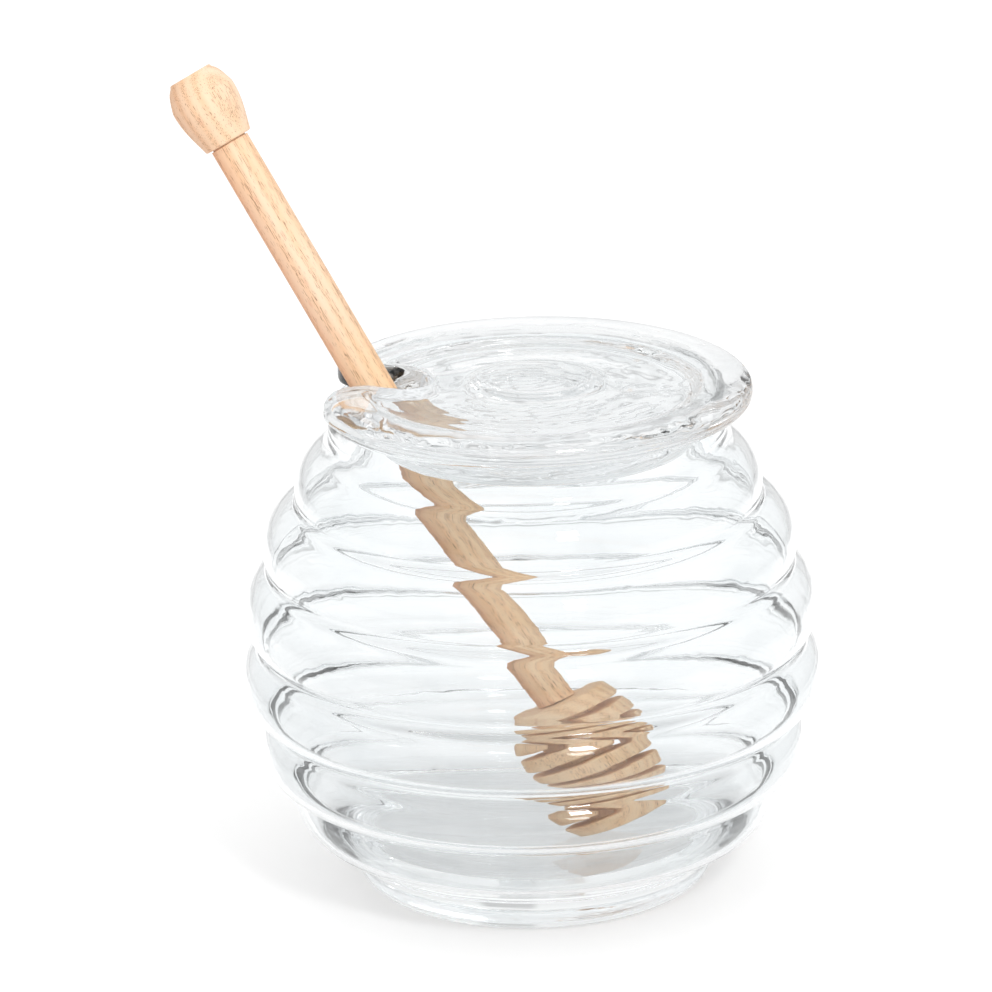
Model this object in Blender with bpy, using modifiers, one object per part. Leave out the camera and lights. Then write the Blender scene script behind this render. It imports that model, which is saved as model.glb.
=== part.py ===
"""Honey pot: a ribbed glass jar, its thick glass lid with a notch, and a turned wooden dipper.

The origin is the centre of the jar's flat underside. +Z is up, and the dipper leans out towards -X.
Lengths are in metres.
"""
import math

import bmesh
import bpy
from mathutils import Vector

MM = 0.001
GAP = 0.3 * MM

# Jar: ribs from the foot up to the shoulder
RIB_RADII = (45.1 * MM, 51.7 * MM, 55.0 * MM, 54.0 * MM, 50.2 * MM, 43.9 * MM)
RIB_HEIGHTS = (15.7 * MM, 26.8 * MM, 40.2 * MM, 53.4 * MM, 65.5 * MM, 76.2 * MM)
RIB_ROUNDINGS = (6.4 * MM, 6.4 * MM, 7.2 * MM, 9.4 * MM, 9.4 * MM, 10.0 * MM)
VALLEY_ROUNDING = 1.6 * MM
WALL = 2.0 * MM
INNER_DROP = 0.5 * MM
LOWEST_RIB_START = -55.0

# Jar: foot, floor, neck and mouth
FOOT_RADIUS = 33.4 * MM
FOOT_ROUNDING = 2.0 * MM
FOOT_HEIGHT = 8.6 * MM
FLOOR_HEIGHT = 10.6 * MM
FLOOR_RADIUS = 27.0 * MM
MOUTH_OUTER = 37.2 * MM
NECK_ROUNDING = 4.0 * MM
RIM_HEIGHT = 92.6 * MM
RIM_ROUNDING = 0.8 * MM

# Lid
LID_RADIUS = 40.8 * MM
LID_SHIFT = 1.4 * MM
LID_UNDERSIDE = RIM_HEIGHT + GAP
LID_TOP = 98.0 * MM
LID_ROUNDING = 2.2 * MM
PLUG_RADIUS = 31.0 * MM
PLUG_BOTTOM = 86.1 * MM
PLUG_ROUNDING = 1.5 * MM
BUTTON_RADIUS = 11.6 * MM
BUTTON_EDGE = 1.6 * MM
BUTTON_HEIGHT = 0.8 * MM
DISH_RADIUS = 31.0 * MM
DISH_DEPTH = 0.9 * MM

# Notch in the lid, seen from above, with a rounded lobe at each side of its way out
NOTCH_CENTRE = Vector((-23.8, 3.0)) * MM
NOTCH_RADIUS = 6.6 * MM
FRONT_LOBE = 9.0 * MM
BACK_LOBE = 6.8 * MM
LOBE_OVERHANG = 0.5 * MM
BACK_LOBE_REACH = 33.9 * MM
BACK_CORNER = Vector((-12.0, 45.0)) * MM
NOTCH_CUT_REACH = 60.0 * MM
NOTCH_CUT_HEIGHT = 30.0 * MM
NOTCH_ARC_DEGREES = 18.0

# Dipper: its place in plan, its lean from upright, and the heading of its upper end
DIPPER_FOOT = Vector((16.75, -14.45)) * MM
DIPPER_LEAN = math.radians(31.6)
DIPPER_HEADING = math.radians(158.2)
DIPPER_LENGTH = 160.6 * MM
ROD_RADIUS = 3.8 * MM
SOCKET_DEPTH = 8.0 * MM

# Dipper head: discs on a core
HEAD_LENGTH = 25.0 * MM
HEAD_RADIUS = 11.9 * MM
HEAD_END_RADIUS = 9.8 * MM
HEAD_CORE = 5.8 * MM
HEAD_DISCS = 5
DISC_SHARE = 0.7
DISC_BEVEL = 0.6 * MM

# Dipper knob
KNOB_LENGTH = 14.3 * MM
KNOB_RADIUS = 6.4 * MM
KNOB_WIDEST = 8.8 * MM
KNOB_BOTTOM = 4.8 * MM
KNOB_TOP = 4.35 * MM

# Facets of the turned shapes
ARC_DEGREES = 30.0
VALLEY_ARC_DEGREES = 45.0
JAR_STEPS = 36
LID_STEPS = 48
WOOD_STEPS = 20


def clear_scene():
    for obj in list(bpy.data.objects):
        bpy.data.objects.remove(obj, do_unlink=True)


def new_collection(name):
    group = bpy.data.collections.new(name)
    bpy.context.scene.collection.children.link(group)
    return group


def new_material(name, colour, roughness, transmission=0.0):
    mat = bpy.data.materials.new(name)
    mat.use_nodes = True
    shader = mat.node_tree.nodes["Principled BSDF"]
    shader.inputs["Base Color"].default_value = (*colour, 1.0)
    shader.inputs["Roughness"].default_value = roughness
    shader.inputs["Metallic"].default_value = 0.0
    shader.inputs["Transmission Weight"].default_value = transmission
    return mat


def arc(centre, radius, start, end, step=ARC_DEGREES):
    """Points along a round stretch; the angles are in degrees."""
    count = max(1, math.ceil(abs(end - start) / step))
    points = []
    for i in range(count + 1):
        angle = math.radians(start + (end - start) * i / count)
        points.append((centre[0] + radius * math.cos(angle), centre[1] + radius * math.sin(angle)))
    return points


def direction(origin, target):
    """The angle in degrees, from -180 to 180, of the way from origin to target."""
    return math.degrees(math.atan2(target[1] - origin[1], target[0] - origin[0]))


def meeting_point(centre_a, reach_a, centre_b, reach_b):
    """The point at two given distances from two centres, on the right of the way from a to b."""
    between = centre_b - centre_a
    span = between.length
    along = (span ** 2 + reach_a ** 2 - reach_b ** 2) / (2.0 * span)
    aside = math.sqrt(reach_a ** 2 - along ** 2)
    to_the_right = Vector((between.y, -between.x)) / span
    return centre_a + between * (along / span) + to_the_right * aside


def turned(name, profile, steps, group, mat):
    """A solid turned about Z. The profile starts on the axis and runs down the outer side."""
    mesh = bpy.data.meshes.new(name)
    vertices = [(radius, 0.0, height) for radius, height in profile]
    edges = [(i, i + 1) for i in range(len(profile) - 1)]
    mesh.from_pydata(vertices, edges, [])
    mesh.materials.append(mat)
    obj = bpy.data.objects.new(name, mesh)
    group.objects.link(obj)
    screw = obj.modifiers.new("Turn", "SCREW")
    screw.steps = steps
    screw.render_steps = steps
    screw.use_merge_vertices = True
    screw.merge_threshold = 0.01 * MM
    screw.use_smooth_shade = True
    return obj


def ribbed_wall(inset):
    """Round ribs with small round valleys between them, bottom to top, then the neck's hollow.

    The line is moved into the glass by inset.
    """
    ribs = [Vector((radius - rounding, height))
            for radius, height, rounding in zip(RIB_RADII, RIB_HEIGHTS, RIB_ROUNDINGS)]
    points = []
    start = LOWEST_RIB_START
    for i, rounding in enumerate(RIB_ROUNDINGS[:-1]):
        valley = meeting_point(ribs[i], rounding + VALLEY_ROUNDING,
                               ribs[i + 1], RIB_ROUNDINGS[i + 1] + VALLEY_ROUNDING)
        end = direction(ribs[i], valley)
        next_start = direction(ribs[i + 1], valley)
        points += arc(ribs[i], rounding - inset, start, 0.0)
        points += arc(ribs[i], rounding - inset, 0.0, end)[1:]
        points += arc(valley, VALLEY_ROUNDING + inset, end + 180.0, next_start + 180.0,
                      VALLEY_ARC_DEGREES)[1:-1]
        start = next_start
    neck_x = MOUTH_OUTER + NECK_ROUNDING
    reach = RIB_ROUNDINGS[-1] + NECK_ROUNDING
    neck = Vector((neck_x, ribs[-1].y + math.sqrt(reach ** 2 - (neck_x - ribs[-1].x) ** 2)))
    end = direction(ribs[-1], neck)
    points += arc(ribs[-1], RIB_ROUNDINGS[-1] - inset, start, 0.0)
    points += arc(ribs[-1], RIB_ROUNDINGS[-1] - inset, 0.0, end)[1:]
    points += arc(neck, NECK_ROUNDING + inset, end + 180.0, 180.0)[1:]
    return points


def jar_profile():
    inside = [(0.0, FLOOR_HEIGHT), (FLOOR_RADIUS, FLOOR_HEIGHT)]
    inside += [(radius, height - INNER_DROP) for radius, height in ribbed_wall(WALL)]
    rim_height = RIM_HEIGHT - RIM_ROUNDING
    mouth_inner = MOUTH_OUTER - WALL
    inner_edge = arc((mouth_inner + RIM_ROUNDING, rim_height), RIM_ROUNDING, 180.0, 90.0, 45.0)
    outer_edge = arc((MOUTH_OUTER - RIM_ROUNDING, rim_height), RIM_ROUNDING, 90.0, 0.0, 45.0)
    outside = [(0.0, 0.0)]
    outside += arc((FOOT_RADIUS - FOOT_ROUNDING, FOOT_ROUNDING), FOOT_ROUNDING, -90.0, 0.0, 45.0)
    outside.append((FOOT_RADIUS, FOOT_HEIGHT))
    outside += ribbed_wall(0.0)
    return inside + inner_edge + outer_edge + outside[::-1]


def lid_profile():
    """The lid stands on its own axis, which is then shifted sideways."""
    centre_top = LID_TOP - DISH_DEPTH + BUTTON_HEIGHT
    top = [(0.0, centre_top), (BUTTON_RADIUS - BUTTON_EDGE, centre_top)]
    top.append((BUTTON_RADIUS, LID_TOP - DISH_DEPTH))
    top.append(((BUTTON_RADIUS + DISH_RADIUS) / 2.0, LID_TOP - DISH_DEPTH))
    top.append((DISH_RADIUS, LID_TOP - DISH_DEPTH / 4.0))
    edge = arc((LID_RADIUS - LID_ROUNDING, LID_TOP - LID_ROUNDING), LID_ROUNDING, 90.0, 0.0)
    edge += arc((LID_RADIUS - LID_ROUNDING, LID_UNDERSIDE + LID_ROUNDING), LID_ROUNDING, 0.0, -90.0)
    plug = [(PLUG_RADIUS, LID_UNDERSIDE)]
    plug += arc((PLUG_RADIUS - PLUG_ROUNDING, PLUG_BOTTOM + PLUG_ROUNDING), PLUG_ROUNDING, 0.0, -90.0, 45.0)
    return top + edge + plug + [(0.0, PLUG_BOTTOM)]


def notch_outline():
    """Seen from above: in past the back lobe, round the notch, and out past the front lobe."""
    lid_centre = Vector((LID_SHIFT, 0.0))
    front_reach = LID_RADIUS + LOBE_OVERHANG - FRONT_LOBE
    front = meeting_point(NOTCH_CENTRE, NOTCH_RADIUS + FRONT_LOBE, lid_centre, front_reach)
    back = meeting_point(lid_centre, BACK_LOBE_REACH, NOTCH_CENTRE, NOTCH_RADIUS + BACK_LOBE)
    step = NOTCH_ARC_DEGREES
    back_turn = math.degrees(math.asin(BACK_LOBE / (back - BACK_CORNER).length))
    back_out = direction(BACK_CORNER, back) - back_turn + 270.0
    front_out = direction(lid_centre, front)
    back_wall = arc(back, BACK_LOBE, back_out, direction(back, NOTCH_CENTRE) + 360.0, step)
    middle = arc(NOTCH_CENTRE, NOTCH_RADIUS,
                 direction(NOTCH_CENTRE, back), direction(NOTCH_CENTRE, front), step)
    front_wall = arc(front, FRONT_LOBE, direction(front, NOTCH_CENTRE), front_out + 360.0, step)
    far_back = (-NOTCH_CUT_REACH, BACK_CORNER.y)
    far_front = (-NOTCH_CUT_REACH, front_wall[-1][1])
    return [far_back, tuple(BACK_CORNER)] + back_wall + middle[1:-1] + front_wall + [far_front]


def notch_cutter(group):
    curve = bpy.data.curves.new("notch_outline", "CURVE")
    curve.dimensions = "2D"
    curve.fill_mode = "BOTH"
    curve.extrude = NOTCH_CUT_HEIGHT / 2.0
    outline = notch_outline()
    spline = curve.splines.new("POLY")
    spline.points.add(len(outline) - 1)
    for point, (x, y) in zip(spline.points, outline):
        point.co = (x, y, 0.0, 1.0)
    spline.use_cyclic_u = True
    guide = bpy.data.objects.new("notch_outline", curve)
    guide.location.z = (LID_TOP + PLUG_BOTTOM) / 2.0
    group.objects.link(guide)
    bpy.context.view_layer.update()
    evaluated = guide.evaluated_get(bpy.context.evaluated_depsgraph_get())
    mesh = bpy.data.meshes.new_from_object(evaluated)
    sheet = bmesh.new()
    sheet.from_mesh(mesh)
    bmesh.ops.remove_doubles(sheet, verts=sheet.verts, dist=0.001 * MM)
    bmesh.ops.recalc_face_normals(sheet, faces=sheet.faces)
    sheet.to_mesh(mesh)
    sheet.free()
    cutter = bpy.data.objects.new("notch_cutter", mesh)
    cutter.matrix_world = guide.matrix_world.copy()
    cutter.hide_render = True
    cutter.display_type = "WIRE"
    group.objects.link(cutter)
    bpy.data.objects.remove(guide, do_unlink=True)
    return cutter


def make_lid(parts, cutters, glass):
    lid = turned("glass_lid", lid_profile(), LID_STEPS, parts, glass)
    lid.location.x = LID_SHIFT
    cut = lid.modifiers.new("Notch", "BOOLEAN")
    cut.operation = "DIFFERENCE"
    cut.solver = "EXACT"
    cut.object = notch_cutter(cutters)
    return lid


def head_radius(height):
    """The barrel shape that the discs' edges follow."""
    middle = HEAD_LENGTH / 2.0
    share = (height - middle) / middle
    return HEAD_RADIUS - (HEAD_RADIUS - HEAD_END_RADIUS) * share ** 2


def head_profile():
    socket_radius = ROD_RADIUS + GAP
    pitch = HEAD_LENGTH / (HEAD_DISCS - 1 + DISC_SHARE)
    profile = [(0.0, HEAD_LENGTH - SOCKET_DEPTH), (socket_radius, HEAD_LENGTH - SOCKET_DEPTH)]
    profile += [(socket_radius, HEAD_LENGTH), (HEAD_CORE, HEAD_LENGTH)]
    for i in range(HEAD_DISCS):
        top = HEAD_LENGTH - i * pitch
        bottom = top - DISC_SHARE * pitch
        if i:
            profile.append((HEAD_CORE, top))
        profile.append((head_radius(top) - DISC_BEVEL, top))
        profile.append((head_radius(top), top - DISC_BEVEL))
        profile.append((head_radius(bottom), bottom + DISC_BEVEL))
        profile.append((head_radius(bottom) - DISC_BEVEL, bottom))
        if i < HEAD_DISCS - 1:
            profile.append((HEAD_CORE, bottom))
    profile.append((0.0, 0.0))
    return profile


def rod_profile():
    top = DIPPER_LENGTH - KNOB_LENGTH + SOCKET_DEPTH - GAP
    bottom = HEAD_LENGTH - SOCKET_DEPTH + GAP
    return [(0.0, top), (ROD_RADIUS, top), (ROD_RADIUS, bottom), (0.0, bottom)]


def knob_profile():
    """Flat on top, widest a little above its middle, and drawn in to the rod below."""
    bottom = DIPPER_LENGTH - KNOB_LENGTH
    widest = bottom + KNOB_WIDEST
    top = DIPPER_LENGTH
    socket_radius = ROD_RADIUS + GAP
    profile = [(0.0, top), (KNOB_TOP, top)]
    profile.append(((KNOB_TOP + KNOB_RADIUS) / 2.0, top - (top - widest) * 0.3))
    profile.append((KNOB_RADIUS - 0.2 * MM, top - (top - widest) * 0.7))
    profile.append((KNOB_RADIUS, widest))
    profile.append((KNOB_RADIUS - 0.3 * MM, bottom + KNOB_WIDEST * 0.6))
    profile.append((KNOB_BOTTOM, bottom))
    profile += [(socket_radius, bottom), (socket_radius, bottom + SOCKET_DEPTH)]
    profile.append((0.0, bottom + SOCKET_DEPTH))
    return profile


def dipper_stand(group):
    """An empty at the lower end of the dipper's axis, turned so that its +Z runs up the rod."""
    stand = bpy.data.objects.new("dipper_axis", None)
    lowest = head_radius(0.0) - DISC_BEVEL
    height = FLOOR_HEIGHT + GAP + lowest * math.sin(DIPPER_LEAN)
    stand.location = (DIPPER_FOOT.x, DIPPER_FOOT.y, height)
    stand.rotation_euler = (0.0, DIPPER_LEAN, DIPPER_HEADING)
    group.objects.link(stand)
    return stand


def make_dipper(parts, wood):
    stand = dipper_stand(parts)
    profiles = {
        "dipper_rod": rod_profile(),
        "dipper_head": head_profile(),
        "dipper_knob": knob_profile(),
    }
    for name, profile in profiles.items():
        piece = turned(name, profile, WOOD_STEPS, parts, wood)
        piece.parent = stand


clear_scene()
honey_pot = new_collection("honey_pot")
cutting_tools = new_collection("cutters")
clear_glass = new_material("clear_glass", (0.97, 0.98, 0.98), 0.02, 1.0)
beech = new_material("beech", (0.80, 0.58, 0.38), 0.6)
turned("glass_pot", jar_profile(), JAR_STEPS, honey_pot, clear_glass)
make_lid(honey_pot, cutting_tools, clear_glass)
make_dipper(honey_pot, beech)
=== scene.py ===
"""Looks of the honey pot: clear ribbed jar, thick notched lid, beech dipper, on a pale floor.

Lengths are in metres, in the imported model's frame: +Z up, the viewer on the -Y side.
"""
import math

import bmesh
import bpy
from mathutils import Matrix, Vector


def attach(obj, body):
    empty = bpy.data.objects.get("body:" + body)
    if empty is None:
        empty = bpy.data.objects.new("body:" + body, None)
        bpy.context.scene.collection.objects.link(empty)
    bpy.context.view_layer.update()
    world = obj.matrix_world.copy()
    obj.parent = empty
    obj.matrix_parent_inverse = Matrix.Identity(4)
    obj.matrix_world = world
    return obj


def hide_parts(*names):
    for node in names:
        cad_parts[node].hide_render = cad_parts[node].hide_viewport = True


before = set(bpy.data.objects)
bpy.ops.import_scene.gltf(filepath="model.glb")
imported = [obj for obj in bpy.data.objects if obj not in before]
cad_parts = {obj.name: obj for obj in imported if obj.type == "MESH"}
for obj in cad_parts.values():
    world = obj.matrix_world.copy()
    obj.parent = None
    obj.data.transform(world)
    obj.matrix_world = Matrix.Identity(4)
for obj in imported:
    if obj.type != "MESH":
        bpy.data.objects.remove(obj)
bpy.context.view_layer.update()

MM = 0.001

# Camera: where the photograph was taken from
CAMERA_DISTANCE = 1.12
CAMERA_ELEVATION = math.radians(20.08)
CAMERA_ROLL = math.radians(-1.18)
LOOKED_AT = Vector((0.0, 0.0, 0.0476))
LOOKED_AT_PIXEL = (531.4, 629.6)
FOCAL_PIXELS = 5931.0
IMAGE_PIXELS = 992.0
SENSOR = 36.0

# Jar: ribs from the foot up to the shoulder
RIB_RADII = (45.1 * MM, 51.7 * MM, 55.0 * MM, 54.0 * MM, 50.2 * MM, 43.9 * MM)
RIB_HEIGHTS = (15.7 * MM, 26.8 * MM, 40.2 * MM, 53.4 * MM, 65.5 * MM, 76.2 * MM)
RIB_ROUNDINGS = (6.4 * MM, 6.4 * MM, 7.2 * MM, 9.4 * MM, 9.4 * MM, 10.0 * MM)
VALLEY_ROUNDING = 1.6 * MM
WALL = 2.0 * MM
INNER_DROP = 0.5 * MM
LOWEST_RIB_START = -55.0
FOOT_RADIUS = 33.4 * MM
FOOT_ROUNDING = 2.0 * MM
FOOT_HEIGHT = 8.6 * MM
FLOOR_HEIGHT = 10.6 * MM
FLOOR_RADIUS = 27.0 * MM
MOUTH_OUTER = 37.2 * MM
NECK_ROUNDING = 4.0 * MM
RIM_HEIGHT = 92.6 * MM
RIM_ROUNDING = 0.95 * MM
JAR_STEPS = 224

# Lid
LID_RADIUS = 40.8 * MM
LID_SHIFT = 1.4 * MM
LID_UNDERSIDE = 92.9 * MM
LID_TOP = 98.0 * MM
LID_ROUNDING = 1.7 * MM
LID_STEPS = 192
LID_MESH_SIZE = 0.45 * MM
POLISH_SHARE = 0.5
POLISH_ROUNDS = 9
FLAT_RADIUS = 36.2 * MM
PLUG_RADIUS = 31.0 * MM
PLUG_BOTTOM = 86.1 * MM
PLUG_ROUNDING = 2.0 * MM
BUTTON_RADIUS = 11.6 * MM
BUTTON_EDGE = 0.8 * MM
BUTTON_HEIGHT = 0.8 * MM
DISH_RADIUS = 31.0 * MM
DISH_DEPTH = 0.9 * MM
DISH_EDGE_DEPTH = DISH_DEPTH / 4.0
MOAT_RADIUS = 13.4 * MM
MOAT_OUTER = 18.0 * MM
MOAT_DEPTH = 0.55 * MM
MOAT_EDGE_DEPTH = MOAT_DEPTH / 4.0

# Notch in the lid's left side: a slot with a round lobe on each side of its mouth
NOTCH_CENTRE = Vector((-23.8, 3.0)) * MM
NOTCH_RADIUS = 6.6 * MM
NOTCH_CUT_REACH = 60.0 * MM
NOTCH_CUT_DROP = 10.0 * MM
NOTCH_CUT_HEIGHT = 30.0 * MM
FRONT_LOBE = 9.0 * MM
BACK_LOBE = 6.8 * MM
LOBE_OVERHANG = 0.5 * MM
BACK_LOBE_REACH = 33.9 * MM
BACK_CORNER = Vector((-12.0, 45.0)) * MM

# Dipper
GAP = 0.3 * MM
DIPPER_FOOT = Vector((16.75, -14.45)) * MM
DIPPER_LEAN = math.radians(31.6)
DIPPER_HEADING = math.radians(158.2)
DIPPER_LENGTH = 160.6 * MM
ROD_RADIUS = 3.8 * MM
HEAD_LENGTH = 25.0 * MM
HEAD_RADIUS = 11.9 * MM
HEAD_END_RADIUS = 9.8 * MM
HEAD_CORE = 5.8 * MM
HEAD_DISCS = 5
DISC_SHARE = 0.7
DISC_BEVEL = 0.6 * MM
DISC_ARC_STEP = 22.5
KNOB_LENGTH = 14.3 * MM
KNOB_RADIUS = 6.4 * MM
KNOB_WIDEST = 8.8 * MM
KNOB_BOTTOM = 4.8 * MM
KNOB_TOP = 4.35 * MM
KNOB_EDGE = 0.45 * MM
KNOB_CUTS = 5
KNOB_ARC_STEP = 15.0
JOINT_RADIUS = 3.4 * MM
JOINT_GROOVE = 0.3 * MM
JOINT_DEPTH = 1.0 * MM
WOOD_STEPS = 96
WOOD_SHARP_ANGLE = math.radians(40.0)

# The knob's rounding: radii at shares of the way from its end to its widest part, and from its
# foot to its widest part
KNOB_SHOULDER = (5.28 * MM, 0.3)
KNOB_UPPER_SIDE = (KNOB_RADIUS - 0.3 * MM, 0.7)
KNOB_LOWER_SIDE = (KNOB_RADIUS - 0.35 * MM, 0.6)

# Studio
FLOOR_SIZE = 8.0
FLOOR_DROP = 0.2 * MM
FLOOR_GREY = 0.55
FLOOR_GLOW = 0.50
LIT_REACH = 0.72
UNLIT_REACH = 1.05
WALL_GREY = 0.74
SKY_STRENGTH = 1.14
SKY_STOPS = ((0.0, WALL_GREY), (0.12, WALL_GREY), (0.42, 0.9), (0.8, 1.0))
FLAG_COUNT = 5.0
FLAG_TURN = 0.6
FLAG_GREY = 0.56
FLAG_WIDTH_STOPS = ((0.8, 0.0), (0.9, 1.0))
FLAG_HEIGHT_STOPS = ((0.02, 0.0), (0.05, 1.0), (0.34, 1.0), (0.42, 0.0))
SOFTBOX_WIDTH = 0.22
SOFTBOX_HEIGHT = 0.26
SOFTBOX_WATTS = 8.0
SOFTBOX_AZIMUTH = math.radians(21.0)
SOFTBOX_ELEVATION = math.radians(40.0)
SOFTBOX_DISTANCE = 1.6
MOST_BOUNCES = 24
GLOSSY_BOUNCES = 12

# Beech, as linear colours
WOOD_LIGHT = (0.995, 0.795, 0.575)
WOOD_MIDDLE = (0.985, 0.76, 0.53)
WOOD_DARK = (0.965, 0.71, 0.47)
WOOD_PORE = (0.42, 0.25, 0.15)
WOOD_FLECK = (0.80, 0.48, 0.31)
WOOD_CLOUD = (1.0, 0.93, 0.84)
PLAIN = (1.0, 1.0, 1.0)
# Painted light on the dipper inside the jar: its tone there, lighter and warmer than the tone above the
# jar, making up for the shade of the glass, and the heights where one gives way to the other
IN_JAR_PAINTED_LIGHT = (1.0, 0.92, 0.83)
BARE_TONE = (0.92, 0.87, 0.88)
KEPT_TOP = 88.0 * MM
BARE_START = 106.0 * MM
# Painted shade across each wooden piece, darkest on its left side away from the softbox: where it
# starts and ends, and how much of it is reached on the way
LIT_SIDE = -1.8 * MM
SHADED_SIDE = 3.0 * MM
HALF_SHADE = 0.38

# Beech, how fine its marks are: cycles per metre across, across and along the grain
BAND_STRETCH = (1.0, 1.0, 0.08)
BAND_SCALE = 135.0
FIBRE_SCALE = (1500.0, 1500.0, 45.0)
CLOUD_SCALE = (120.0, 120.0, 30.0)
PORE_SCALE = (8600.0, 8600.0, 560.0)
FLECK_SCALE = (420.0, 420.0, 160.0)
PORES_IN_BANDS = 0.10
PORE_STOPS = ((0.68, 0.0), (0.72, 0.9))
FLECK_STOPS = ((0.08, 0.45), (0.20, 0.0))
FIBRE_TINT_STOPS = ((0.3, 0.94), (0.7, 1.0))
WOOD_ROUGHNESS_STOPS = ((0.3, 0.62), (0.7, 0.48))
PORE_RELIEF_STOPS = ((0.0, 1.0), (1.0, 0.3))
WOOD_BUMP = 0.35
WOOD_BUMP_DEPTH = 0.12 * MM

# Beech of each piece: where it was cut from the wood, and the colour of the painted shade on its left
# side, away from the softbox
ROD_BEECH = ((0.011, 0.004, 0.0), (0.85, 0.68, 0.60))
HEAD_BEECH = ((0.004, 0.013, 0.02), (1.0, 0.97, 0.94))
KNOB_BEECH = ((0.013, -0.005, 0.05), (0.86, 0.77, 0.73))

# Glass
GLASS_IOR = 1.51
JAR_TINT = (0.885, 0.906, 0.914)
LID_TINT = (0.82, 0.84, 0.848)
UNSCALED = (1.0, 1.0, 1.0)
WAVE_SIZE = 9.0 * MM
JAR_WAVE_DEPTH = 0.05 * MM
JAR_DRAG_DEPTH = 0.012 * MM
LID_WAVE_DEPTH = 0.20 * MM
LID_RING_DEPTH = 0.03 * MM
DRAG_SCALE = (45.0, 45.0, 420.0)
RING_SCALE = 85.0
SMEAR_SCALE = (60.0, 60.0, 60.0)
SMEAR_ROUGHNESS_STOPS = ((0.45, 0.0), (0.8, 0.06))
SMEAR_TINT_START = 0.3
SMEAR_TINT_END = 0.7

# Sockets of a colour mix node, by place
MIX_FACTOR = 0
MIX_FIRST = 6
MIX_SECOND = 7
MIX_RESULT = 2


def arc(centre, radius, start, end, step=8.0):
    """Points along a round stretch; the angles are in degrees."""
    count = max(1, math.ceil(abs(end - start) / step))
    points = []
    for i in range(count + 1):
        angle = math.radians(start + (end - start) * i / count)
        points.append((centre[0] + radius * math.cos(angle), centre[1] + radius * math.sin(angle)))
    return points


def direction(origin, target):
    """The angle in degrees, from -180 to 180, of the way from origin to target."""
    return math.degrees(math.atan2(target[1] - origin[1], target[0] - origin[0]))


def meeting_point(centre_a, reach_a, centre_b, reach_b):
    """The point at two given distances from two centres, on the right of the way from a to b."""
    between = centre_b - centre_a
    span = between.length
    along = (span ** 2 + reach_a ** 2 - reach_b ** 2) / (2.0 * span)
    aside = math.sqrt(reach_a ** 2 - along ** 2)
    to_the_right = Vector((between.y, -between.x)) / span
    return centre_a + between * (along / span) + to_the_right * aside


def turned(name, profile, steps):
    """A solid turned about Z, its profile running from the axis down the outer side to the axis."""
    sheet = bmesh.new()
    rows = []
    for radius, height in profile:
        row = []
        for i in range(steps if radius else 1):
            angle = 2.0 * math.pi * i / steps
            row.append(sheet.verts.new((radius * math.cos(angle), radius * math.sin(angle), height)))
        rows.append(row)
    for upper, lower in zip(rows, rows[1:]):
        for i in range(steps):
            j = (i + 1) % steps
            corners = [upper[i % len(upper)], lower[i % len(lower)],
                       lower[j % len(lower)], upper[j % len(upper)]]
            sheet.faces.new(list(dict.fromkeys(corners)))
    bmesh.ops.recalc_face_normals(sheet, faces=sheet.faces)
    mesh = bpy.data.meshes.new(name)
    sheet.to_mesh(mesh)
    sheet.free()
    mesh.shade_smooth()
    obj = bpy.data.objects.new(name, mesh)
    bpy.context.scene.collection.objects.link(obj)
    return obj


def ribbed_wall(inset):
    """Round ribs with small round valleys between them, bottom to top, then the neck's hollow.

    The line is moved into the glass by inset.
    """
    ribs = [Vector((radius - rounding, height))
            for radius, height, rounding in zip(RIB_RADII, RIB_HEIGHTS, RIB_ROUNDINGS)]
    points = []
    start = LOWEST_RIB_START
    for i, rounding in enumerate(RIB_ROUNDINGS[:-1]):
        valley = meeting_point(ribs[i], rounding + VALLEY_ROUNDING,
                               ribs[i + 1], RIB_ROUNDINGS[i + 1] + VALLEY_ROUNDING)
        end = direction(ribs[i], valley)
        next_start = direction(ribs[i + 1], valley)
        points += arc(ribs[i], rounding - inset, start, 0.0)
        points += arc(ribs[i], rounding - inset, 0.0, end)[1:]
        points += arc(valley, VALLEY_ROUNDING + inset, end + 180.0, next_start + 180.0)[1:-1]
        start = next_start
    neck_x = MOUTH_OUTER + NECK_ROUNDING
    reach = RIB_ROUNDINGS[-1] + NECK_ROUNDING
    neck = Vector((neck_x, ribs[-1].y + math.sqrt(reach ** 2 - (neck_x - ribs[-1].x) ** 2)))
    end = direction(ribs[-1], neck)
    points += arc(ribs[-1], RIB_ROUNDINGS[-1] - inset, start, 0.0)
    points += arc(ribs[-1], RIB_ROUNDINGS[-1] - inset, 0.0, end)[1:]
    points += arc(neck, NECK_ROUNDING + inset, end + 180.0, 180.0)[1:]
    return points


def jar_profile():
    """From the inner floor up the inner wall, over the rim and down the outer wall to the foot."""
    inside = [(0.0, FLOOR_HEIGHT), (FLOOR_RADIUS, FLOOR_HEIGHT)]
    inside += [(radius, height - INNER_DROP) for radius, height in ribbed_wall(WALL)]
    rim_height = RIM_HEIGHT - RIM_ROUNDING
    mouth_inner = MOUTH_OUTER - WALL
    inner_edge = arc((mouth_inner + RIM_ROUNDING, rim_height), RIM_ROUNDING, 180.0, 90.0)
    outer_edge = arc((MOUTH_OUTER - RIM_ROUNDING, rim_height), RIM_ROUNDING, 90.0, 0.0)
    outside = [(0.0, 0.0)]
    outside += arc((FOOT_RADIUS - FOOT_ROUNDING, FOOT_ROUNDING), FOOT_ROUNDING, -90.0, 0.0)
    outside.append((FOOT_RADIUS, FOOT_HEIGHT))
    outside += ribbed_wall(0.0)
    return inside + inner_edge + outer_edge + outside[::-1]


def make_jar(glass):
    """The ribbed jar as one closed skin, inside and outside."""
    jar = turned("jar", jar_profile(), JAR_STEPS)
    jar.data.materials.append(glass)
    return jar


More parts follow.
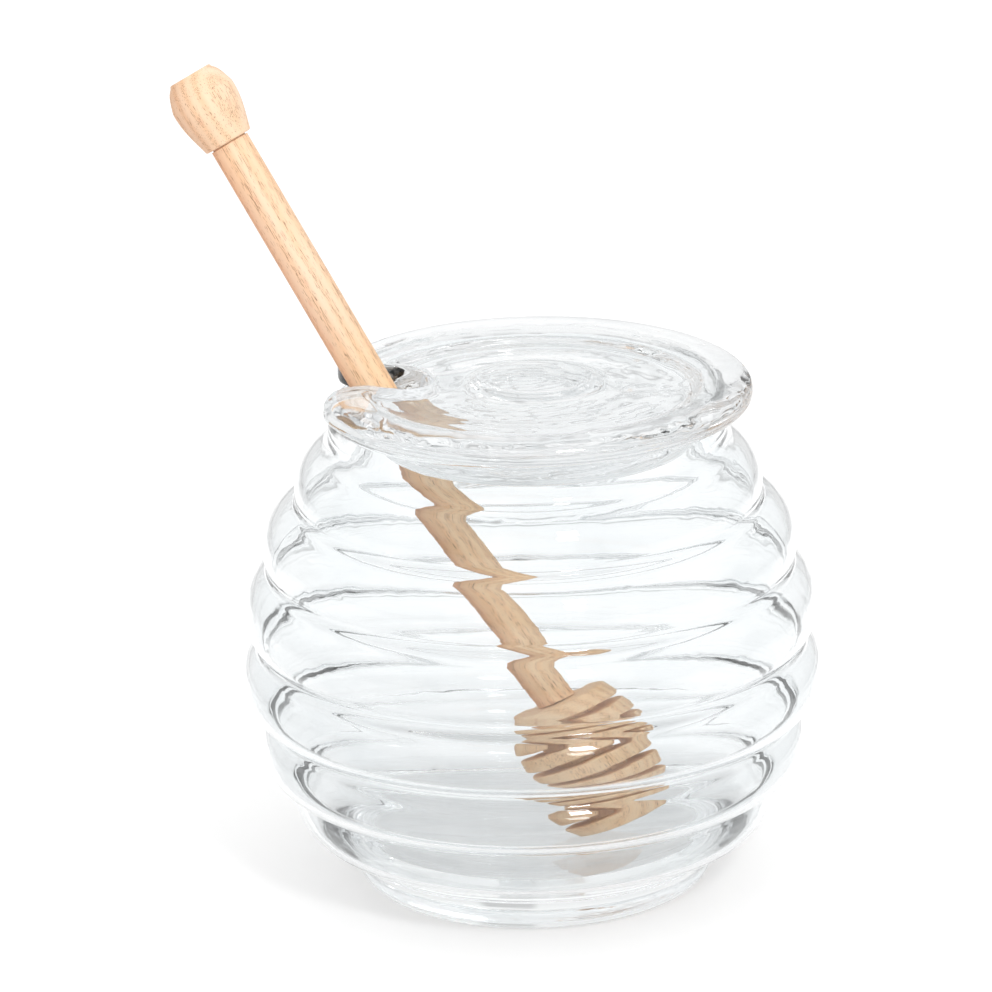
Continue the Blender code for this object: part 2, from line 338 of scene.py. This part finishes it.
def lid_profile():
    """From the button over the moat and the dish, round the broad edge, then down round the plug."""
    dish_floor = LID_TOP - DISH_DEPTH
    centre_top = dish_floor + BUTTON_HEIGHT
    top = [
        (0.0, centre_top),
        (BUTTON_RADIUS - BUTTON_EDGE, centre_top),
        (BUTTON_RADIUS, dish_floor),
        (MOAT_RADIUS, dish_floor - MOAT_DEPTH),
        (MOAT_OUTER, dish_floor - MOAT_EDGE_DEPTH),
        ((MOAT_OUTER + DISH_RADIUS) / 2.0, dish_floor),
        (DISH_RADIUS, LID_TOP - DISH_EDGE_DEPTH),
    ]
    middle = (LID_TOP + LID_UNDERSIDE) / 2.0
    reach = LID_RADIUS - FLAT_RADIUS
    edge = [(FLAT_RADIUS + reach * across, middle + (LID_TOP - middle) * up)
            for across, up in arc((0.0, 0.0), 1.0, 90.0, 0.0)]
    edge += arc((LID_RADIUS - LID_ROUNDING, LID_UNDERSIDE + LID_ROUNDING), LID_ROUNDING, 0.0, -90.0)
    plug = [(PLUG_RADIUS, LID_UNDERSIDE)]
    plug += arc((PLUG_RADIUS - PLUG_ROUNDING, PLUG_BOTTOM + PLUG_ROUNDING), PLUG_ROUNDING, 0.0, -90.0)
    return top + edge + plug + [(0.0, PLUG_BOTTOM)]


def notch_outline():
    """The notch from above: the back lobe's side, the slot's round end, the front lobe's side."""
    lid_centre = Vector((LID_SHIFT, 0.0))
    front_reach = LID_RADIUS + LOBE_OVERHANG - FRONT_LOBE
    front = meeting_point(NOTCH_CENTRE, NOTCH_RADIUS + FRONT_LOBE, lid_centre, front_reach)
    back = meeting_point(lid_centre, BACK_LOBE_REACH, NOTCH_CENTRE, NOTCH_RADIUS + BACK_LOBE)
    to_back = direction(NOTCH_CENTRE, back)
    to_front = direction(NOTCH_CENTRE, front)
    back_turn = math.degrees(math.asin(BACK_LOBE / (back - BACK_CORNER).length))
    back_out = direction(BACK_CORNER, back) - back_turn + 270.0
    back_wall = arc(back, BACK_LOBE, back_out, direction(back, NOTCH_CENTRE) + 360.0)
    middle = arc(NOTCH_CENTRE, NOTCH_RADIUS, to_back, to_front)
    front_out = direction(lid_centre, front) + 360.0
    front_wall = arc(front, FRONT_LOBE, direction(front, NOTCH_CENTRE), front_out)
    far = -NOTCH_CUT_REACH
    outline = [(far, BACK_CORNER.y), tuple(BACK_CORNER)] + back_wall + middle[1:-1] + front_wall
    return outline + [(far, front_wall[-1][1])]


def notch_cutter():
    """The notch's outline as an upright block that runs past both faces of the lid."""
    sheet = bmesh.new()
    low = [sheet.verts.new((x, y, PLUG_BOTTOM - NOTCH_CUT_DROP)) for x, y in notch_outline()]
    bottom = sheet.faces.new(low)
    raised = bmesh.ops.extrude_face_region(sheet, geom=[bottom])
    top = [item for item in raised["geom"] if isinstance(item, bmesh.types.BMVert)]
    bmesh.ops.translate(sheet, vec=(0.0, 0.0, NOTCH_CUT_HEIGHT), verts=top)
    bmesh.ops.recalc_face_normals(sheet, faces=sheet.faces)
    mesh = bpy.data.meshes.new("notch_cutter")
    sheet.to_mesh(mesh)
    sheet.free()
    cutter = bpy.data.objects.new("notch_cutter", mesh)
    bpy.context.scene.collection.objects.link(cutter)
    return cutter


def make_lid(glass):
    """The turned lid with its notch cut out, all edges softened as by fire polishing."""
    lid = turned("lid", lid_profile(), LID_STEPS)
    lid.data.transform(Matrix.Translation((LID_SHIFT, 0.0, 0.0)))
    cutter = notch_cutter()
    cut = lid.modifiers.new("Notch", "BOOLEAN")
    cut.operation = "DIFFERENCE"
    cut.solver = "EXACT"
    cut.object = cutter
    skin = lid.modifiers.new("Even mesh", "REMESH")
    skin.mode = "VOXEL"
    skin.voxel_size = LID_MESH_SIZE
    skin.use_smooth_shade = True
    soften = lid.modifiers.new("Fire polish", "SMOOTH")
    soften.factor = POLISH_SHARE
    soften.iterations = POLISH_ROUNDS
    evaluated = lid.evaluated_get(bpy.context.evaluated_depsgraph_get())
    mesh = bpy.data.meshes.new_from_object(evaluated)
    lid.modifiers.clear()
    lid.data = mesh
    bpy.data.objects.remove(cutter, do_unlink=True)
    mesh.materials.clear()
    mesh.materials.append(glass)
    mesh.shade_smooth()
    return lid


def head_radius(height):
    """The head's outer radius, widest at half its length."""
    middle = HEAD_LENGTH / 2.0
    share = (height - middle) / middle
    return HEAD_RADIUS - (HEAD_RADIUS - HEAD_END_RADIUS) * share ** 2


def head_profile():
    """Discs with soft edges on a core, from the top down."""
    pitch = HEAD_LENGTH / (HEAD_DISCS - 1 + DISC_SHARE)
    profile = [(0.0, HEAD_LENGTH)]
    for i in range(HEAD_DISCS):
        top = HEAD_LENGTH - i * pitch
        bottom = top - DISC_SHARE * pitch
        upper = head_radius(top) - DISC_BEVEL
        lower = head_radius(bottom) - DISC_BEVEL
        if i:
            profile.append((HEAD_CORE, top))
        profile += arc((upper, top - DISC_BEVEL), DISC_BEVEL, 90.0, 0.0, DISC_ARC_STEP)
        profile += arc((lower, bottom + DISC_BEVEL), DISC_BEVEL, 0.0, -90.0, DISC_ARC_STEP)
        if i < HEAD_DISCS - 1:
            profile.append((HEAD_CORE, bottom))
    profile.append((0.0, 0.0))
    return profile


def rod_profile():
    """A plain rod, turned down at the knob so that the joint shows as a thin dark line."""
    knob_bottom = DIPPER_LENGTH - KNOB_LENGTH
    top = knob_bottom + JOINT_DEPTH - GAP
    shoulder = knob_bottom - JOINT_GROOVE
    bottom = HEAD_LENGTH + GAP
    return [(0.0, top), (JOINT_RADIUS, top), (JOINT_RADIUS, shoulder), (ROD_RADIUS, shoulder),
            (ROD_RADIUS, bottom), (0.0, bottom)]


def through_points(points, cuts):
    """A smooth line through the given points, each stretch cut into equal parts."""
    ends = [points[0]] + points + [points[-1]]
    line = []
    for before, start, end, after in zip(ends, ends[1:], ends[2:], ends[3:]):
        for i in range(cuts):
            t = i / cuts
            line.append(tuple(
                0.5 * (2.0 * b + (c - a) * t + (2.0 * a - 5.0 * b + 4.0 * c - d) * t ** 2
                       + (3.0 * b - a - 3.0 * c + d) * t ** 3)
                for a, b, c, d in zip(before, start, end, after)))
    return line + [points[-1]]


def knob_profile():
    """A flat end with a soft edge, a round shoulder and a straight taper down to the rod."""
    bottom = DIPPER_LENGTH - KNOB_LENGTH
    widest = bottom + KNOB_WIDEST
    top = DIPPER_LENGTH
    side = [
        (KNOB_TOP, top - KNOB_EDGE),
        (KNOB_SHOULDER[0], top - (top - widest) * KNOB_SHOULDER[1]),
        (KNOB_UPPER_SIDE[0], top - (top - widest) * KNOB_UPPER_SIDE[1]),
        (KNOB_RADIUS, widest),
        (KNOB_LOWER_SIDE[0], bottom + KNOB_WIDEST * KNOB_LOWER_SIDE[1]),
        (KNOB_BOTTOM, bottom + KNOB_EDGE),
    ]
    end_middle = (KNOB_TOP - KNOB_EDGE, top - KNOB_EDGE)
    end = arc(end_middle, KNOB_EDGE, 90.0, 30.0, KNOB_ARC_STEP)
    foot_middle = (KNOB_BOTTOM - KNOB_EDGE, bottom + KNOB_EDGE)
    foot = arc(foot_middle, KNOB_EDGE, -15.0, -90.0, KNOB_ARC_STEP)
    socket_radius = JOINT_RADIUS + GAP / 2.0
    socket_end = bottom + JOINT_DEPTH
    socket = [(socket_radius, bottom), (socket_radius, socket_end), (0.0, socket_end)]
    return [(0.0, top)] + end + through_points(side, KNOB_CUTS) + foot + socket


def dipper_placing():
    """Where the upright dipper goes: its head's edge rests just above the jar's floor."""
    lowest = head_radius(0.0) - DISC_BEVEL
    height = FLOOR_HEIGHT + GAP + lowest * math.sin(DIPPER_LEAN)
    place = Matrix.Translation((DIPPER_FOOT.x, DIPPER_FOOT.y, height))
    return place @ Matrix.Rotation(DIPPER_HEADING, 4, "Z") @ Matrix.Rotation(DIPPER_LEAN, 4, "Y")


def keep_grain(mesh):
    """Keeps each point's place on the upright piece, for the wood grain to follow."""
    grain = mesh.attributes.new("grain", "FLOAT_VECTOR", "POINT")
    for point, kept in zip(mesh.vertices, grain.data):
        kept.vector = point.co


def make_dipper(*woods):
    """The rod, the head and the knob, each in its own wood."""
    pieces = []
    profiles = (("rod", rod_profile()), ("head", head_profile()), ("knob", knob_profile()))
    for (name, profile), wood in zip(profiles, woods):
        piece = turned(name, profile, WOOD_STEPS)
        piece.data.set_sharp_from_angle(angle=WOOD_SHARP_ANGLE)
        piece.data.materials.append(wood)
        keep_grain(piece.data)
        piece.data.transform(dipper_placing())
        pieces.append(piece)
    return pieces


def add_node(tree, kind, **values):
    """A node with its sockets set by name, spaces written as underscores; a socket given is linked."""
    item = tree.nodes.new(kind)
    for key, value in values.items():
        name = key.replace("_", " ")
        if name in item.inputs:
            if isinstance(value, bpy.types.NodeSocket):
                tree.links.new(value, item.inputs[name])
            else:
                item.inputs[name].default_value = value
        else:
            setattr(item, key, value)
    return item


def math_node(tree, operation, *operands):
    """A sum on one, two or three operands, numbers or sockets."""
    item = add_node(tree, "ShaderNodeMath", operation=operation)
    for socket, operand in zip(item.inputs, operands):
        if isinstance(operand, bpy.types.NodeSocket):
            tree.links.new(operand, socket)
        else:
            socket.default_value = operand
    return item.outputs[0]


def stretched(tree, scale):
    """Coordinates in the shared frame, scaled per axis."""
    place = add_node(tree, "ShaderNodeTexCoord")
    mapping = add_node(tree, "ShaderNodeMapping", Vector=place.outputs["Object"], Scale=scale)
    return mapping.outputs["Vector"]


def along_grain(tree, scale, shift):
    """Coordinates on the upright wooden piece, scaled per axis so that the grain runs up its Z."""
    place = add_node(tree, "ShaderNodeAttribute", attribute_name="grain")
    mapping = add_node(tree, "ShaderNodeMapping", Vector=place.outputs["Vector"], Scale=scale,
                       Location=shift)
    return mapping.outputs["Vector"]


def ramp(tree, factor, *stops):
    """A colour ramp; a stop is a position with a colour or a grey."""
    item = add_node(tree, "ShaderNodeValToRGB", Fac=factor)
    while len(item.color_ramp.elements) < len(stops):
        item.color_ramp.elements.new(0.5)
    for element, (position, colour) in zip(item.color_ramp.elements, stops):
        element.position = position
        element.color = (*colour, 1.0) if isinstance(colour, tuple) else (colour, colour, colour, 1.0)
    return item.outputs["Color"]


def mixed(tree, blend, factor, first, second):
    """A mix of two colours; each argument is a socket or a constant."""
    item = tree.nodes.new("ShaderNodeMix")
    item.data_type = "RGBA"
    item.blend_type = blend
    for index, value in ((MIX_FACTOR, factor), (MIX_FIRST, first), (MIX_SECOND, second)):
        if isinstance(value, bpy.types.NodeSocket):
            tree.links.new(value, item.inputs[index])
        elif index == MIX_FACTOR:
            item.inputs[index].default_value = value
        else:
            item.inputs[index].default_value = (*value, 1.0)
    return item.outputs[MIX_RESULT]


def share_between(tree, axis, start, end):
    """How far the piece has gone from start to end along one axis of its upright place."""
    place = add_node(tree, "ShaderNodeAttribute", attribute_name="grain")
    parts = add_node(tree, "ShaderNodeSeparateXYZ", Vector=place.outputs["Vector"])
    share = add_node(tree, "ShaderNodeMapRange", Value=parts.outputs[axis], From_Min=start,
                     From_Max=end)
    return share.outputs["Result"]


def painted_light_in_jar(tree):
    """Painted light: the part of the dipper inside the jar is painted lighter and warmer than the part
    above, making up for the shade of the glass.
    """
    share = share_between(tree, "Z", KEPT_TOP, BARE_START)
    return ramp(tree, share, (0.0, IN_JAR_PAINTED_LIGHT), (1.0, BARE_TONE))


def painted_side_shade(tree, shade_colour):
    """Painted shade: the piece gets darker towards its left side, away from the softbox."""
    share = share_between(tree, "X", LIT_SIDE, SHADED_SIDE)
    half = tuple(1.0 - HALF_SHADE + HALF_SHADE * part for part in shade_colour)
    return ramp(tree, share, (0.0, PLAIN), (0.4, half), (0.85, shade_colour))


def wood_material(name, shift, shade_colour):
    """Beech: pale growth bands, fine fibres, rows of short dark pores and a few reddish flecks."""
    mat = bpy.data.materials.new(name)
    mat.use_nodes = True
    tree = mat.node_tree
    shader = tree.nodes["Principled BSDF"]
    bands = add_node(tree, "ShaderNodeTexWave", wave_type="RINGS", rings_direction="Z",
                     Vector=along_grain(tree, BAND_STRETCH, shift), Scale=BAND_SCALE,
                     Distortion=1.8, Detail=2.0, Detail_Scale=1.3)
    colour = ramp(tree, bands.outputs["Fac"], (0.0, WOOD_LIGHT), (0.55, WOOD_MIDDLE), (1.0, WOOD_DARK))
    fibres = add_node(tree, "ShaderNodeTexNoise", Vector=along_grain(tree, FIBRE_SCALE, shift),
                      Scale=1.0, Detail=4.0, Roughness=0.6)
    fibre_tint = ramp(tree, fibres.outputs["Fac"], *FIBRE_TINT_STOPS)
    colour = mixed(tree, "MULTIPLY", 1.0, colour, fibre_tint)
    cloud = add_node(tree, "ShaderNodeTexNoise", Vector=along_grain(tree, CLOUD_SCALE, shift),
                     Scale=1.0, Detail=2.0)
    cloud_tint = ramp(tree, cloud.outputs["Fac"], (0.35, WOOD_CLOUD), (0.65, PLAIN))
    colour = mixed(tree, "MULTIPLY", 1.0, colour, cloud_tint)
    pores = add_node(tree, "ShaderNodeTexNoise", Vector=along_grain(tree, PORE_SCALE, shift),
                     Scale=1.0, Detail=1.0)
    pore_rows = math_node(tree, "MULTIPLY_ADD", bands.outputs["Fac"], PORES_IN_BANDS,
                          pores.outputs["Fac"])
    pore_mask = ramp(tree, pore_rows, *PORE_STOPS)
    colour = mixed(tree, "MIX", pore_mask, colour, WOOD_PORE)
    flecks = add_node(tree, "ShaderNodeTexVoronoi", Vector=along_grain(tree, FLECK_SCALE, shift),
                      Scale=1.0, Randomness=1.0)
    fleck_mask = ramp(tree, flecks.outputs["Distance"], *FLECK_STOPS)
    colour = mixed(tree, "MIX", fleck_mask, colour, WOOD_FLECK)
    # Painted light: lighter and warmer inside the jar, making up for the shade of the glass
    colour = mixed(tree, "MULTIPLY", 1.0, colour, painted_light_in_jar(tree))
    # Painted shade: darker on the piece's left side, away from the softbox
    colour = mixed(tree, "MULTIPLY", 1.0, colour, painted_side_shade(tree, shade_colour))
    tree.links.new(colour, shader.inputs["Base Color"])
    gloss = ramp(tree, fibres.outputs["Fac"], *WOOD_ROUGHNESS_STOPS)
    tree.links.new(gloss, shader.inputs["Roughness"])
    relief = mixed(tree, "MULTIPLY", 1.0, fibre_tint, ramp(tree, pore_mask, *PORE_RELIEF_STOPS))
    bump = add_node(tree, "ShaderNodeBump", Strength=WOOD_BUMP, Distance=WOOD_BUMP_DEPTH,
                    Height=relief)
    tree.links.new(bump.outputs["Normal"], shader.inputs["Normal"])
    return mat


def glass_material(name, tint, wave_depth, drag_depth, ring_depth):
    """Clear pressed glass: soft waves, finer drag marks, rings round the turning axis, faint smears."""
    mat = bpy.data.materials.new(name)
    mat.use_nodes = True
    tree = mat.node_tree
    shader = tree.nodes["Principled BSDF"]
    shader.inputs["IOR"].default_value = GLASS_IOR
    shader.inputs["Transmission Weight"].default_value = 1.0
    waves = add_node(tree, "ShaderNodeTexNoise", Vector=stretched(tree, UNSCALED),
                     Scale=1.0 / WAVE_SIZE, Detail=1.0, Distortion=0.6)
    first = add_node(tree, "ShaderNodeBump", Strength=1.0, Distance=wave_depth,
                     Height=waves.outputs["Fac"])
    drags = add_node(tree, "ShaderNodeTexNoise", Vector=stretched(tree, DRAG_SCALE),
                     Scale=1.0, Detail=2.0)
    second = add_node(tree, "ShaderNodeBump", Strength=1.0, Distance=drag_depth,
                      Height=drags.outputs["Fac"], Normal=first.outputs["Normal"])
    rings = add_node(tree, "ShaderNodeTexWave", wave_type="RINGS", rings_direction="Z",
                     Vector=stretched(tree, UNSCALED), Scale=RING_SCALE, Distortion=5.0, Detail=2.0,
                     Detail_Scale=0.7)
    third = add_node(tree, "ShaderNodeBump", Strength=1.0, Distance=ring_depth,
                     Height=rings.outputs["Fac"], Normal=second.outputs["Normal"])
    tree.links.new(third.outputs["Normal"], shader.inputs["Normal"])
    smears = add_node(tree, "ShaderNodeTexNoise", Vector=stretched(tree, SMEAR_SCALE),
                      Scale=1.0, Detail=3.0)
    roughness = ramp(tree, smears.outputs["Fac"], *SMEAR_ROUGHNESS_STOPS)
    tree.links.new(roughness, shader.inputs["Roughness"])
    paler = tuple(0.5 + 0.5 * part for part in tint)
    colour = ramp(tree, smears.outputs["Fac"], (SMEAR_TINT_START, tint), (SMEAR_TINT_END, paler))
    tree.links.new(colour, shader.inputs["Base Color"])
    return mat


def make_floor():
    """A pale sweep, lit a little from below round the object, so that shadows stay faint."""
    bpy.ops.mesh.primitive_plane_add(size=FLOOR_SIZE, location=(0.0, 0.0, -FLOOR_DROP))
    floor = bpy.context.object
    floor.name = "floor"
    mat = bpy.data.materials.new("floor")
    mat.use_nodes = True
    tree = mat.node_tree
    shader = tree.nodes["Principled BSDF"]
    shader.inputs["Base Color"].default_value = (FLOOR_GREY, FLOOR_GREY, FLOOR_GREY, 1.0)
    shader.inputs["Roughness"].default_value = 1.0
    shader.inputs["Emission Color"].default_value = (1.0, 1.0, 1.0, 1.0)
    place = add_node(tree, "ShaderNodeTexCoord")
    reach = add_node(tree, "ShaderNodeVectorMath", operation="LENGTH")
    tree.links.new(place.outputs["Object"], reach.inputs[0])
    glow = add_node(tree, "ShaderNodeMapRange", interpolation_type="SMOOTHSTEP",
                    Value=reach.outputs["Value"], From_Min=LIT_REACH, From_Max=UNLIT_REACH,
                    To_Min=FLOOR_GLOW, To_Max=0.0)
    tree.links.new(glow.outputs["Result"], shader.inputs["Emission Strength"])
    floor.data.materials.append(mat)
    return floor


def make_world():
    """A white studio: bright above, greyer walls with a few dark flags that draw the glass's lines."""
    world = bpy.data.worlds.new("studio")
    bpy.context.scene.world = world
    world.use_nodes = True
    tree = world.node_tree
    background = tree.nodes["Background"]
    place = add_node(tree, "ShaderNodeTexCoord")
    parts = add_node(tree, "ShaderNodeSeparateXYZ", Vector=place.outputs["Generated"])
    sky = ramp(tree, parts.outputs["Z"], *SKY_STOPS)
    heading = math_node(tree, "ARCTAN2", parts.outputs["Y"], parts.outputs["X"])
    repeat = math_node(tree, "MULTIPLY_ADD", heading, FLAG_COUNT, FLAG_TURN)
    swing = math_node(tree, "SINE", repeat)
    across = ramp(tree, swing, *FLAG_WIDTH_STOPS)
    upright = ramp(tree, parts.outputs["Z"], *FLAG_HEIGHT_STOPS)
    flags = mixed(tree, "MULTIPLY", 1.0, across, upright)
    studio = mixed(tree, "MIX", flags, sky, (FLAG_GREY, FLAG_GREY, FLAG_GREY))
    tree.links.new(studio, background.inputs["Color"])
    background.inputs["Strength"].default_value = SKY_STRENGTH


def make_softbox():
    """One soft light from the front right, for a small highlight on the glass."""
    light = bpy.data.lights.new("softbox", "AREA")
    light.shape = "RECTANGLE"
    light.size = SOFTBOX_WIDTH
    light.size_y = SOFTBOX_HEIGHT
    light.energy = SOFTBOX_WATTS
    obj = bpy.data.objects.new("softbox", light)
    flat = math.cos(SOFTBOX_ELEVATION)
    away = Vector((math.sin(SOFTBOX_AZIMUTH) * flat, -math.cos(SOFTBOX_AZIMUTH) * flat,
                   math.sin(SOFTBOX_ELEVATION)))
    obj.location = LOOKED_AT + away * SOFTBOX_DISTANCE
    obj.rotation_euler = away.to_track_quat("Z", "Y").to_euler()
    bpy.context.scene.collection.objects.link(obj)


def make_camera():
    """The fitted camera, turned so that LOOKED_AT falls on its own pixel instead of the middle."""
    data = bpy.data.cameras.new("camera")
    data.sensor_width = SENSOR
    data.lens = FOCAL_PIXELS / IMAGE_PIXELS * SENSOR
    camera = bpy.data.objects.new("camera", data)
    bpy.context.scene.collection.objects.link(camera)
    backwards = Vector((0.0, -math.cos(CAMERA_ELEVATION), math.sin(CAMERA_ELEVATION)))
    right = Vector((1.0, 0.0, 0.0))
    up = backwards.cross(right)
    aside = IMAGE_PIXELS / 2.0 - LOOKED_AT_PIXEL[0]
    below = IMAGE_PIXELS / 2.0 - LOOKED_AT_PIXEL[1]
    c = math.cos(CAMERA_ROLL)
    s = math.sin(CAMERA_ROLL)
    to_right = (c * aside + s * below) / FOCAL_PIXELS
    to_below = (c * below - s * aside) / FOCAL_PIXELS
    forwards = (-backwards + right * to_right - up * to_below).normalized()
    image_up = up * c - right * s
    image_right = forwards.cross(image_up).normalized()
    image_up = image_right.cross(forwards)
    turn = Matrix((image_right, image_up, -forwards)).transposed().to_4x4()
    camera.matrix_world = Matrix.Translation(LOOKED_AT + backwards * CAMERA_DISTANCE) @ turn
    bpy.context.scene.camera = camera


make_camera()
make_world()
make_softbox()
floor = make_floor()

jar = make_jar(glass_material("jar_glass", JAR_TINT, JAR_WAVE_DEPTH, JAR_DRAG_DEPTH, 0.0))
lid = make_lid(glass_material("lid_glass", LID_TINT, LID_WAVE_DEPTH, 0.0, LID_RING_DEPTH))
rod, head, knob = make_dipper(
    wood_material("rod_beech", *ROD_BEECH),
    wood_material("head_beech", *HEAD_BEECH),
    wood_material("knob_beech", *KNOB_BEECH),
)
for piece, node, slot in (
    (jar, "glass_pot", "pot_glass"),
    (lid, "glass_lid", "lid_glass"),
    (rod, "dipper_rod", "rod_wood"),
    (head, "dipper_head", "head_wood"),
    (knob, "dipper_knob", "knob_wood"),
):
    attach(piece, "root")
    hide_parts(node)

settings = bpy.context.scene
settings.view_settings.view_transform = "Standard"
settings.cycles.max_bounces = MOST_BOUNCES
settings.cycles.transmission_bounces = MOST_BOUNCES
settings.cycles.glossy_bounces = GLOSSY_BOUNCES
